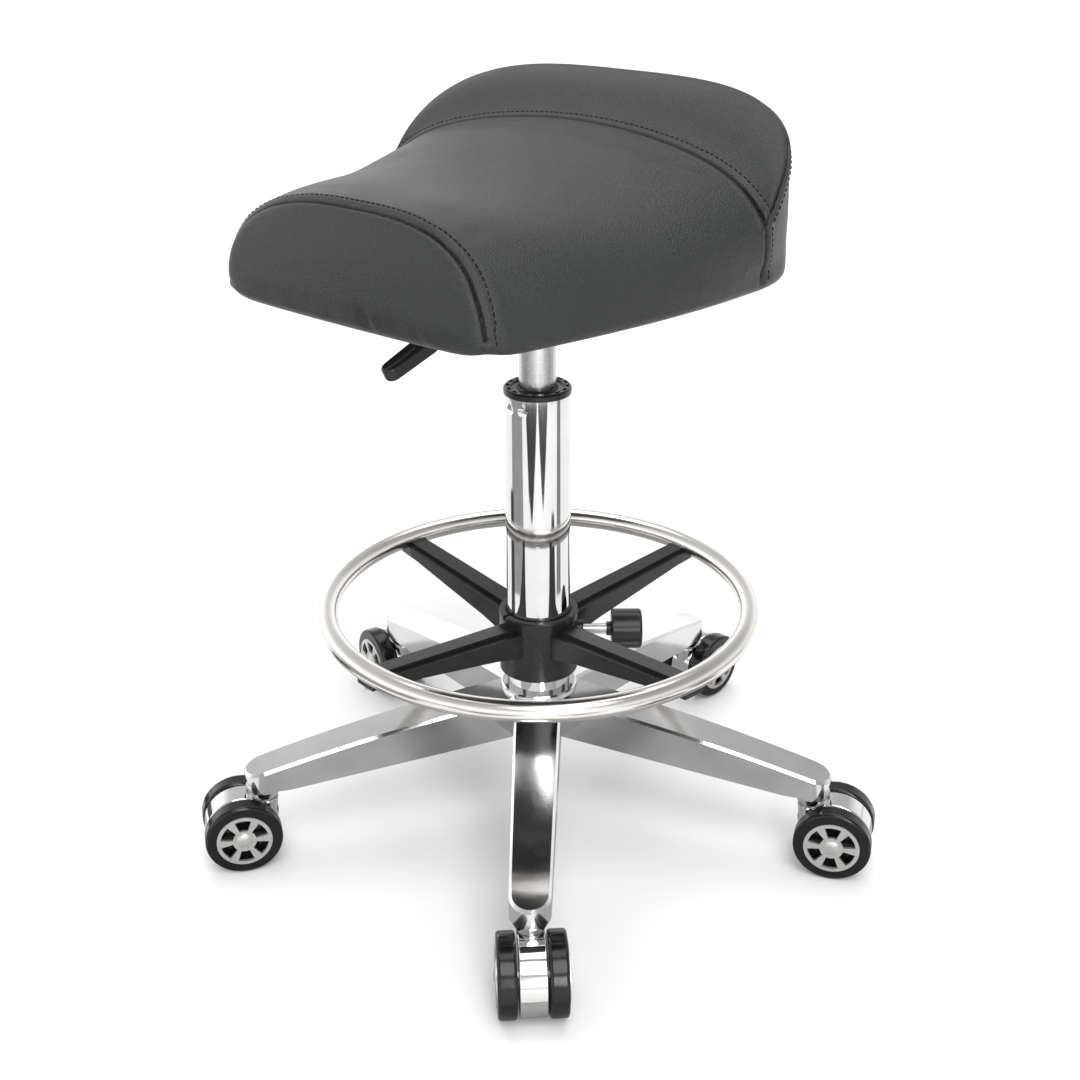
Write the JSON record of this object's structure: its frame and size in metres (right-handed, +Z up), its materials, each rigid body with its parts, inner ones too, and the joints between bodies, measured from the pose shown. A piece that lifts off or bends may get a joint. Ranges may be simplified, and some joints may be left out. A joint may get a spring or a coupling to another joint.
{
  "type": "rolling stylist stool",
  "caption": "Height-adjustable swivel stool with a contoured black seat and low back lip, gas column with foot ring, polished star base and twin-wheel casters.",
  "frame": {"origin": "on the floor, on the axis of the gas column", "axes": "+Z up along the column; -Y towards the front arm of the base; the seat's forward direction is turned 53.84 degrees from -X towards -Y"},
  "size_m": [0.5375, 0.5181, 0.5861],
  "materials": {
    "polished_aluminium": "polished",
    "chrome": "mirror",
    "caster_chrome": "mirror",
    "satin_steel": "satin",
    "ring_steel": "satin polished",
    "plain_steel": "plain",
    "black_plastic": "semi-gloss",
    "black_enamel": "satin enamel",
    "black_tyre": "gloss",
    "silver_paint": "satin",
    "black_leather": "fine grain, semi-matte",
    "foam": "open cell",
    "plywood": "raw",
    "underside_cloth": "non-woven"
  },
  "bodies": {
    "base": {"star_base": "polished_aluminium", "column_tube": "chrome", "guide_bush": "black_plastic", "thrust_bearing": "plain_steel", "caster_stems": "plain_steel"},
    "spindle": {"piston_rod": "plain_steel", "column_clip": "plain_steel"},
    "seat": {"gas_cylinder": "satin_steel", "taper_socket": "black_enamel", "mechanism_plate": "black_enamel", "plate_bolts": "plain_steel", "tee_nuts": "plain_steel", "seat_board": "plywood", "dust_cover": "underside_cloth", "seat_foam": "foam", "seat_cover": "black_leather", "lever_pivot_pin": "plain_steel"},
    "lever": {"height_lever": "black_enamel", "lever_paddle": "black_plastic"},
    "valve_pin": {"release_pin": "plain_steel"},
    "ring_slider": {"clamp_sleeve": "black_plastic"},
    "ring_frame": {"ring_spider": "black_plastic", "foot_ring": "ring_steel", "ring_screws": "plain_steel"},
    "clamp": {"clamp_stud": "plain_steel", "clamp_knob": "black_plastic"},
    "caster_1_fork": {"caster_1_housing": "caster_chrome", "caster_1_axle": "plain_steel"},
    "caster_1_wheel_left": {"caster_1_wheel_left": "black_tyre", "caster_1_hubcap_left": "silver_paint"},
    "caster_1_wheel_right": {"caster_1_wheel_right": "black_tyre", "caster_1_hubcap_right": "silver_paint"},
    "caster_2_fork": {"caster_2_housing": "caster_chrome", "caster_2_axle": "plain_steel"},
    "caster_2_wheel_left": {"caster_2_wheel_left": "black_tyre", "caster_2_hubcap_left": "silver_paint"},
    "caster_2_wheel_right": {"caster_2_wheel_right": "black_tyre", "caster_2_hubcap_right": "silver_paint"},
    "caster_3_fork": {"caster_3_housing": "caster_chrome", "caster_3_axle": "plain_steel"},
    "caster_3_wheel_left": {"caster_3_wheel_left": "black_tyre", "caster_3_hubcap_left": "silver_paint"},
    "caster_3_wheel_right": {"caster_3_wheel_right": "black_tyre", "caster_3_hubcap_right": "silver_paint"},
    "caster_4_fork": {"caster_4_housing": "caster_chrome", "caster_4_axle": "plain_steel"},
    "caster_4_wheel_left": {"caster_4_wheel_left": "black_tyre", "caster_4_hubcap_left": "silver_paint"},
    "caster_4_wheel_right": {"caster_4_wheel_right": "black_tyre", "caster_4_hubcap_right": "silver_paint"},
    "caster_5_fork": {"caster_5_housing": "caster_chrome", "caster_5_axle": "plain_steel"},
    "caster_5_wheel_left": {"caster_5_wheel_left": "black_tyre", "caster_5_hubcap_left": "silver_paint"},
    "caster_5_wheel_right": {"caster_5_wheel_right": "black_tyre", "caster_5_hubcap_right": "silver_paint"}
  },
  "joints": [
    {"name": "seat_swivel", "type": "hinge", "parent": "base", "child": "spindle", "pos_m": [0, 0, 0.09], "axis": [0, 0, 1], "continuous": true},
    {"name": "seat_lift", "type": "slide", "parent": "spindle", "child": "seat", "axis": [0, 0, 1], "range_m": [-0.04, 0.12]},
    {"name": "height_lever", "type": "hinge", "parent": "seat", "child": "lever", "pos_m": [-0.02779, -0.02592, 0.4583], "axis": [-0.682, 0.7314, 0], "range_deg": [0, 5], "stiffness_Nm_per_rad": 1, "springref_deg": -14.32},
    {"name": "valve_pin_slide", "type": "slide", "parent": "seat", "child": "valve_pin", "axis": [0, 0, -1], "range_m": [0, 0.0038]},
    {"name": "foot_ring_slide", "type": "slide", "parent": "base", "child": "ring_slider", "axis": [0, 0, 1], "range_m": [-0.013, 0.155]},
    {"name": "foot_ring_turn", "type": "hinge", "parent": "ring_slider", "child": "ring_frame", "pos_m": [0, 0, 0.16], "axis": [0, 0, 1], "continuous": true},
    {"name": "clamp_turn", "type": "hinge", "parent": "ring_frame", "child": "clamp", "pos_m": [0.05985, 0.00419, 0.1665], "axis": [0.9976, 0.0698, 0], "range_deg": [0, 450]},
    {"name": "caster_1_swivel", "type": "hinge", "parent": "base", "child": "caster_1_fork", "pos_m": [0.00733, -0.22578, 0.04], "axis": [0, 0, 1], "continuous": true},
    {"name": "caster_1_left_spin", "type": "hinge", "parent": "caster_1_fork", "child": "caster_1_wheel_left", "pos_m": [0.00974, -0.24564, 0.03], "axis": [0.9928, 0.1201, 0], "continuous": true},
    {"name": "caster_1_right_spin", "type": "hinge", "parent": "caster_1_fork", "child": "caster_1_wheel_right", "pos_m": [0.00974, -0.24564, 0.03], "axis": [0.9928, 0.1201, 0], "continuous": true},
    {"name": "caster_2_swivel", "type": "hinge", "parent": "base", "child": "caster_2_fork", "pos_m": [0.217, -0.0628, 0.04], "axis": [0, 0, 1], "continuous": true},
    {"name": "caster_2_left_spin", "type": "hinge", "parent": "caster_2_fork", "child": "caster_2_wheel_left", "pos_m": [0.23657, -0.06689, 0.03], "axis": [0.2045, 0.9789, 0], "continuous": true},
    {"name": "caster_2_right_spin", "type": "hinge", "parent": "caster_2_fork", "child": "caster_2_wheel_right", "pos_m": [0.23657, -0.06689, 0.03], "axis": [0.2045, 0.9789, 0], "continuous": true},
    {"name": "caster_3_swivel", "type": "hinge", "parent": "base", "child": "caster_3_fork", "pos_m": [0.12678, 0.18697, 0.04], "axis": [0, 0, 1], "continuous": true},
    {"name": "caster_3_left_spin", "type": "hinge", "parent": "caster_3_fork", "child": "caster_3_wheel_left", "pos_m": [0.13964, 0.20229, 0.03], "axis": [-0.766, 0.6428, 0], "continuous": true},
    {"name": "caster_3_right_spin", "type": "hinge", "parent": "caster_3_fork", "child": "caster_3_wheel_right", "pos_m": [0.13964, 0.20229, 0.03], "axis": [-0.766, 0.6428, 0], "continuous": true},
    {"name": "caster_4_swivel", "type": "hinge", "parent": "base", "child": "caster_4_fork", "pos_m": [-0.13864, 0.17835, 0.04], "axis": [0, 0, 1], "continuous": true},
    {"name": "caster_4_left_spin", "type": "hinge", "parent": "caster_4_fork", "child": "caster_4_wheel_left", "pos_m": [-0.15011, 0.19473, 0.03], "axis": [-0.8192, -0.5736, 0], "continuous": true},
    {"name": "caster_4_right_spin", "type": "hinge", "parent": "caster_4_fork", "child": "caster_4_wheel_right", "pos_m": [-0.15011, 0.19473, 0.03], "axis": [-0.8192, -0.5736, 0], "continuous": true},
    {"name": "caster_5_swivel", "type": "hinge", "parent": "base", "child": "caster_5_fork", "pos_m": [-0.21246, -0.07674, 0.04], "axis": [0, 0, 1], "continuous": true},
    {"name": "caster_5_left_spin", "type": "hinge", "parent": "caster_5_fork", "child": "caster_5_wheel_left", "pos_m": [-0.23147, -0.08296, 0.03], "axis": [0.3107, -0.9505, 0], "continuous": true},
    {"name": "caster_5_right_spin", "type": "hinge", "parent": "caster_5_fork", "child": "caster_5_wheel_right", "pos_m": [-0.23147, -0.08296, 0.03], "axis": [0.3107, -0.9505, 0], "continuous": true}
  ],
  "couplings": [
    {"joint": "valve_pin_slide", "follows": "height_lever", "m_per_rad": 0.042}
  ]
}
